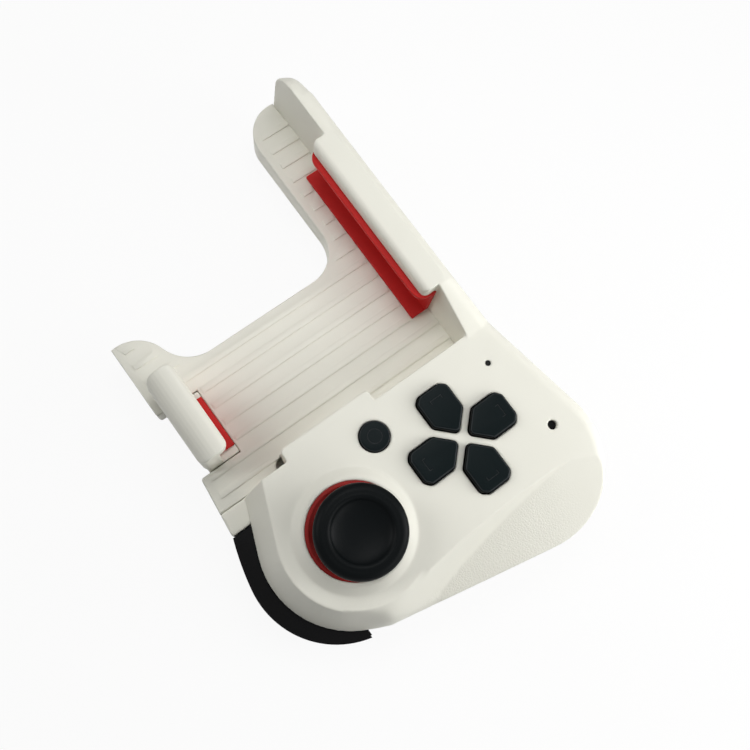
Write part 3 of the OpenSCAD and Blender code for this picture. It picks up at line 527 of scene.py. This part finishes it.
# %% Rounding edges
def round_edges(piece, test, width, segments):
    pick(piece, "EDGE", test)
    bpy.ops.mesh.bevel(offset=width * mm, segments=segments, affect="EDGES")
    done()


def break_edges(piece, width, segments, angle):
    limit = math.radians(angle)
    carve(piece, "BEVEL", width=width * mm, segments=segments, limit_method="ANGLE", angle_limit=limit)


def heights(edge, mesh):
    return [mesh.vertices[i].co.z for i in edge.vertices]


# %% Edges of the tray to round
RIB_RISE = 0.3 * mm
BODY_SIDE_X = -15 * mm
SLOT_Y, SLOT_END = 42 * mm, 15.35 * mm
SLOT_GAP = 0.25 * mm
tray_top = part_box("phone_tray")[1].z - RIB_RISE
slot_ends = (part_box("clamp_slider")[0].x - SLOT_GAP, SLOT_END)
print("slot ends:", [round(x / mm, 2) for x in slot_ends], "mm")


def outer_top(piece, level):
    beside = {}
    for face in piece.data.polygons:
        for key in face.edge_keys:
            beside.setdefault(key, []).append((face.normal.z, face.center.z))

    def test(edge):
        if any(abs(z - level) > 0.02 * mm for z in heights(edge, piece.data)):
            return False
        if min(piece.data.vertices[i].co.x for i in edge.vertices) < BODY_SIDE_X:
            return False
        tilts = [tilt for tilt, height in beside[edge.key]]
        lowest = min(height for tilt, height in beside[edge.key])
        return max(tilts) > 0.9 and min(tilts) < 0.2 and lowest < level - 0.05 * mm

    return test


def slot_corner(piece):
    def test(edge):
        a, b = (piece.data.vertices[i].co for i in edge.vertices)
        upright = (a - b).to_2d().length < 0.01 * mm and a.y > SLOT_Y
        return upright and any(abs(a.x - x) < 0.05 * mm for x in slot_ends)

    return test


# %% Tray and its cover
tray = cast("tray_top", "phone_tray")
round_edges(tray, slot_corner(tray), width=0.9, segments=5)
round_edges(tray, outer_top(tray, tray_top), width=0.45, segments=4)
break_edges(tray, width=0.10, segments=2, angle=50)
settle(tray, "housing", white, ("phone_tray",))

cover = cast("tray_underside", "tray_cover")
round_edges(cover, slot_corner(cover), width=0.9, segments=5)
break_edges(cover, width=0.35, segments=3, angle=50)
settle(cover, "housing", white, ("tray_cover",))

# %% [markdown]
# ## The clamp and the two red channels
#
# The hook's top is nearly a half cylinder with rounded ends, so the slider is remeshed finely and
# smoothed more. The rubber channels are cut with straight legs whose edges are just broken, which a
# small bevel gives.

# %% Clamp hook and rubber channels
hook = cast("clamp_hook", "clamp_slider")
skin_over(hook, voxel=0.18, rounds=6)
thin(hook, most=120000)
settle(hook, "clamp", white, ("clamp_slider",), angle=180)

for name, node, body in (("jaw_channel", "fixed_pad", "housing"), ("clamp_channel", "clamp_pad", "clamp")):
    channel = cast(name, node)
    break_edges(channel, width=0.22, segments=3, angle=40)
    settle(channel, body, red_rubber, (node,))

# %% [markdown]
# ## The direction keys
#
# All four keys are the same moulding, turned by a quarter each time. One is modelled: its top edge
# gets a flat chamfer, the line where that meets the top is rounded a little, and a small bracket is
# engraved near the outer end. Three turned copies follow, each with its own mesh. The bracket is cut one
# bar at a time, because bars that overlap in one cutter confuse the boolean.

# %% Bars of the engraved bracket
MARK_LINE, MARK_LONG, MARK_SHORT = 0.22 * mm, 3.4 * mm, 0.9 * mm
MARK_INSET, MARK_HALF = 3.4 * mm, 1.6 * mm
key_low, key_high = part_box("key_right")
key_up_low, key_up_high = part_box("key_up")
cross = Vector(((key_up_low.x + key_up_high.x) / 2, (key_low.y + key_high.y) / 2, 0))
mark_x = key_high.x - MARK_INSET
marks = [(mark_x, cross.y, MARK_LINE, MARK_LONG)]
for side in (-1, 1):
    marks.append((mark_x - MARK_SHORT / 2, cross.y + side * MARK_HALF, MARK_SHORT, MARK_LINE))
print("bracket:", len(marks), "bars, at", round(mark_x / mm, 2), "mm")

# %% One key
MARK_DEPTH = 0.14 * mm


def edges_at(piece, level):
    return lambda edge: all(abs(z - level) < 0.01 * mm for z in heights(edge, piece.data))


def engrave(piece, bars, level, depth):
    for x, y, wide, deep in bars:
        bpy.ops.mesh.primitive_cube_add(size=1, location=(x, y, level), scale=(wide, deep, 2 * depth))
        bpy.ops.object.transform_apply(location=True, rotation=True, scale=True)
        cutter = bpy.context.object
        carve(piece, "BOOLEAN", operation="DIFFERENCE", solver="MANIFOLD", object=cutter)
        bpy.data.objects.remove(cutter)


key = cast("key_cap_right", "key_right")
round_edges(key, edges_at(key, key_top), width=0.50, segments=1)
round_edges(key, edges_at(key, key_top), width=0.14, segments=3)
engrave(key, marks, key_top, MARK_DEPTH)
print("one key:", triangles(key), "triangles")

# %% Four keys
QUARTERS = ("right", "up", "left", "down")
keys = [key] + [piece_from("key_cap_" + name, key.data.copy()) for name in QUARTERS[1:]]
for turn, (name, copy) in enumerate(zip(QUARTERS, keys)):
    if turn:
        spin = Matrix.Rotation(math.radians(90 * turn), 4, "Z")
        copy.data.transform(Matrix.Translation(cross) @ spin @ Matrix.Translation(-cross))
    settle(copy, name + "_key", key_black, ("key_" + name,), angle=20)

# %% [markdown]
# ## The home button
#
# A round button with a rounded edge and one engraved ring. The ring is two insets of the top face,
# and the narrow band between them is pushed down.

# %% Home button
RING_INSET, RING_WIDTH, RING_DEPTH = 1.45 * mm, 0.22 * mm, 0.16 * mm
RING_INSIDE, RING_OUTSIDE = 1.60 * mm, 1.95 * mm
home = cast("home_cap", "home_button")
home_low, home_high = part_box("home_button")
home_at = (home_low + home_high) / 2


def on_top(face):
    return face.center.z > home_top - 0.001 * mm


def on_ring(face):
    return on_top(face) and RING_INSIDE < (face.center - home_at).to_2d().length < RING_OUTSIDE


round_edges(home, edges_at(home, home_top), width=0.42, segments=4)
pick(home, "FACE", lambda face: on_top(face) and face.normal.z > 0.99)
bpy.ops.mesh.inset(thickness=RING_INSET)
bpy.ops.mesh.inset(thickness=RING_WIDTH)
done()
pick(home, "FACE", on_ring)
bpy.ops.mesh.extrude_region_move(TRANSFORM_OT_translate={"value": (0, 0, -RING_DEPTH)})
done()
settle(home, "home_key", home_black, ("home_button",), angle=25)

# %% [markdown]
# ## The thumb stick
#
# A cap like this is turned, so a profile spun round the stick's axis is the natural way. The profile
# runs from the hub, under the rim, over its soft crown and down into the dish. Its points are in
# millimetres, as distances from the axis and heights above the pivot. The stick leans a few degrees at
# rest, so the finished cap is tilted about its pivot.

# %% Profile of the cap
CAP_RIM, CAP_FILLET = (9.20, 12.75), (8.45, 13.37)


def curve(centre, across, up, start, end, steps):
    angles = [math.radians(start + (end - start) * i / steps) for i in range(steps + 1)]
    return [(centre[0] + across * math.cos(a), centre[1] + up * math.sin(a)) for a in angles]


hub = [(0, 9.6), (1.25, 9.6), (1.25, 6.8), (3.1, 6.8), (3.2, 6.9), (3.2, 9.3)]
under = curve((4.2, 9.3), across=1.0, up=1.0, start=180, end=90, steps=6) + [(9.2, 11.2)]
crown = curve(CAP_RIM, across=2.15, up=1.55, start=-82, end=0, steps=12)
crown += curve(CAP_RIM, across=2.15, up=1.95, start=7, end=85, steps=12)
crown += curve(CAP_FILLET, across=1.30, up=1.30, start=75, end=143, steps=10)
dish = curve((0, 14.60), across=7.565, up=2.20, start=-12, end=-90, steps=20)
profile = hub + under + crown + dish
print("cap profile:", len(profile), "points")

# %% Cap
LEAN_X, LEAN_Y = math.radians(2.4), math.radians(-4.3)


def spun(name, profile, steps):
    mesh = bpy.data.meshes.new(name)
    points = [(x * mm, 0, z * mm) for x, z in profile]
    mesh.from_pydata(points, [(i, i + 1) for i in range(len(points) - 1)], [])
    piece = piece_from(name, mesh)
    pick(piece, "VERT", lambda vertex: True)
    bpy.ops.mesh.spin(steps=steps, angle=2 * math.pi, center=(0, 0, 0), axis=(0, 0, 1))
    bpy.ops.mesh.select_all(action="SELECT")
    bpy.ops.mesh.remove_doubles(threshold=MERGE)
    bpy.ops.mesh.normals_make_consistent(inside=False)
    done()
    return piece


cap = spun("stick_cap_top", profile, steps=144)
lean = Matrix.Rotation(LEAN_X, 4, "X") @ Matrix.Rotation(LEAN_Y, 4, "Y")
cap.data.transform(Matrix.Translation(stick_at) @ lean)
settle(cap, "stick", stick_rubber, ("stick_cap",), angle=40)

# %% [markdown]
# ## The red liner and the triggers
#
# The liner is a simple ring in the collar, and the triggers are two curved bars. Their solids nearly have
# the right shape, so broken edges are most of what they need. The slanted end of each trigger is also
# drawn out until it meets the ledge beside it.

# %% Liner
# The liner's darker red finish is painted shade for its recess.
liner = cast("collar_liner", "stick_ring")
break_edges(liner, width=0.20, segments=3, angle=35)
settle(liner, "housing", liner_red_painted_shade, ("stick_ring",))

# %% Triggers
END_REACH, END_SHIFT = 1.5 * mm, 1.2 * mm
END_LOW_Y, END_HIGH_Y = 38.25 * mm, 38.4 * mm
for place in ("front", "rear"):
    trigger = cast("trigger_bar_" + place, "trigger_" + place)
    end_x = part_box("trigger_" + place)[1].x - END_REACH
    pick(trigger, "VERT", lambda vertex: vertex.co.x > end_x and END_LOW_Y < vertex.co.y < END_HIGH_Y)
    bpy.ops.transform.translate(value=(END_SHIFT, 0, 0))
    done()
    break_edges(trigger, width=0.20, segments=3, angle=40)
    settle(trigger, place + "_trigger", trigger_black, ("trigger_" + place,))

# %% [markdown]
# ## The springs
#
# One end of each spring stays in the housing and the other follows the clamp or a trigger, so a spring
# can't ride on one body. Each is a copy of its solid that rides on no body. Two places along its length
# are worked out, but nothing here makes it blend from the one body to the other.

# %% Springs
SPRINGS = (
    ("clamp_coils", "clamp_springs", "clamp", 0.07, 0.93),
    ("front_coil", "front_spring", "front_trigger", 0.05, 0.50),
    ("rear_coil", "rear_spring", "rear_trigger", 0.05, 0.50),
)
for name, node, body, first, last in SPRINGS:
    coil = cast(name, node)
    settle(coil, None, steel, (node,))
    low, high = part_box(node)
    middle = (low + high) / 2
    start, end = [(middle.x, low.y + share * (high.y - low.y), middle.z) for share in (first, last)]
    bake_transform(coil)
    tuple(start)
    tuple(end)

# %% [markdown]
# ## Screws and the charging port
#
# Screw heads show on the back, so each gets a cross recess, cut by two bars at the middle of the head.
# The port's shell is a CAD node already, and a real port also has a tongue inside. The tongue turns with
# the shell, whose largest upright face shows which way that is.

# %% Cross recesses
CROSS_LONG, CROSS_LINE, CROSS_DEPTH = 2.2 * mm, 0.5 * mm, 0.45 * mm
HEAD_REACH = 3 * mm


def head_centres(piece, level):
    heads = []
    for vertex in piece.data.vertices:
        if vertex.co.z < level + 0.01 * mm:
            spot = vertex.co.to_2d()
            near = [head for head in heads if (head[0] / head[1] - spot).length < HEAD_REACH]
            if near:
                near[0][0] += spot
                near[0][1] += 1
            else:
                heads.append([spot, 1])
    return [total / count for total, count in heads]


arms = ((CROSS_LONG, CROSS_LINE), (CROSS_LINE, CROSS_LONG))
for node in ("shell_screws", "tray_screws", "rail_screws"):
    screws = cast(node + "_heads", node)
    low = min(vertex.co.z for vertex in screws.data.vertices)
    bars = [(centre.x, centre.y, *arm) for centre in head_centres(screws, low) for arm in arms]
    engrave(screws, bars, low, CROSS_DEPTH)
    settle(screws, "housing", steel, (node,))

# %% Port tongue
TONGUE = (6.4 * mm, 6.6 * mm, 0.7 * mm)
port_low, port_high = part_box("usb_port")
port_mid = (port_low + port_high) / 2
walls = [face for face in nodes["usb_port"].data.polygons if abs(face.normal.z) < 0.1]
facing = max(walls, key=lambda face: face.area).normal
turn = math.atan2(facing.y, facing.x)
bpy.ops.mesh.primitive_cube_add(size=1, location=port_mid, rotation=(0, 0, turn), scale=TONGUE)
bpy.ops.object.transform_apply(location=True, rotation=True, scale=True)
tongue = bpy.context.object
tongue.name = "port_tongue"
break_edges(tongue, width=0.15, segments=2, angle=30)
settle(tongue, "housing", epoxy)
print("port tongue turned", round(math.degrees(turn), 1), "degrees")

# %% [markdown]
# ## Camera
#
# The camera stands where the photographer's did: the tray's parallel ribs and straight edges gave its
# place, its turn and its focal length. Its matrix is built from the three directions that it calls
# right, up and backwards.

# %% Camera
CAMERA_AT = (-0.034892, 0.036299, 0.231666)
CAMERA_RIGHT = (-0.590542, -0.801295, 0.095847)
CAMERA_UP = (0.798095, -0.562286, 0.216514)
CAMERA_BACK = (-0.119598, 0.204356, 0.971563)
lens = bpy.data.cameras.new("camera")
lens.sensor_width = 36
lens.lens = 40.7686
lens.clip_start = 0.01
camera = bpy.data.objects.new("camera", lens)
bpy.context.scene.collection.objects.link(camera)
axes = Matrix((CAMERA_RIGHT, CAMERA_UP, CAMERA_BACK)).transposed().to_4x4()
camera.matrix_world = Matrix.Translation(CAMERA_AT) @ axes
bpy.context.scene.camera = camera
print("camera:", round(lens.lens, 2), "mm lens")

# %% [markdown]
# ## Floor, light and background
#
# The floor is pale and catches the object's shadow. To the camera and in reflections it is nearly white.
# The Light Path node does that without making the floor throw more soft light at the object, and the
# world works in the same way. Small lamps stand close by, on the sides that the photograph's shading
# points to, so their light falls off across the object. One large lamp fills in from far off on the
# other side.

# %% Floor
FLOOR_WHITE = 0.92
bpy.ops.mesh.primitive_plane_add(size=6, location=(0, 0, -0.2 * mm))
floor = bpy.context.object
floor.name = "floor"
paper = finish_named("floor_paper")
speck = paper.noise(scale=40, detail=3)
paper.wear(Base_Color=paper.tint(speck, (0.80, 0.80, 0.79), (0.83, 0.83, 0.82)), Roughness=0.9)
glow = paper.add("ShaderNodeEmission", {}, {"Color": (1, 1, 1, 1), "Strength": 1.0})
matt = Wire(paper, paper.skin.outputs[0])
sheet = paper.add("ShaderNodeMixShader", {}, {0: paper.seen() * FLOOR_WHITE, 1: matt, 2: glow})
paper.feed(paper.tree.nodes["Material Output"].inputs["Surface"], sheet)
floor.data.materials.append(paper.owner)
print("floor:", round(floor.dimensions.x, 2), "m wide")

# %% Lamps
BODY_MIDDLE, GRIP_SIDE, TRAY_SIDE = (-0.02, 0.0, 0.02), (-0.04, -0.025, 0.02), (0.055, -0.015, 0.01)


def lamp(name, azimuth, elevation, distance, size, power, target):
    light = bpy.data.lights.new(name, "AREA")
    light.shape = "DISK"
    light.size = size
    light.energy = power
    stand = bpy.data.objects.new(name, light)
    bpy.context.scene.collection.objects.link(stand)
    a, e = math.radians(azimuth), math.radians(elevation)
    way = Vector((math.cos(e) * math.cos(a), math.cos(e) * math.sin(a), math.sin(e)))
    stand.location = Vector(target) + way * distance
    stand.rotation_euler = way.to_track_quat("Z", "Y").to_euler()


lamp("over_tray", azimuth=270, elevation=85, distance=0.25, size=0.16, power=0.240, target=TRAY_SIDE)
lamp("close_side", azimuth=235, elevation=18, distance=0.20, size=0.12, power=0.130, target=GRIP_SIDE)
lamp("left_side", azimuth=190, elevation=30, distance=0.32, size=0.16, power=0.229, target=GRIP_SIDE)
lamp("low_side", azimuth=225, elevation=20, distance=0.32, size=0.16, power=0.270, target=GRIP_SIDE)
lamp("side", azimuth=232, elevation=41, distance=0.32, size=0.20, power=0.215, target=BODY_MIDDLE)
lamp("jaw_side", azimuth=300, elevation=45, distance=0.32, size=0.20, power=0.115, target=BODY_MIDDLE)
lamp("far_fill", azimuth=43, elevation=35, distance=0.80, size=0.45, power=1.85, target=BODY_MIDDLE)
print("lamps:", len(bpy.data.lights))

# %% World
AMBIENT, BACKDROP = (0.02, 0.02, 0.02), (1, 1, 1)
sky = Finish(bpy.data.worlds.new("studio"), "Background")
bpy.context.scene.world = sky.wear(Color=sky.tint(sky.seen(), AMBIENT, BACKDROP))
bpy.context.scene.view_settings.view_transform = "Standard"
print("world:", sky.owner.name)
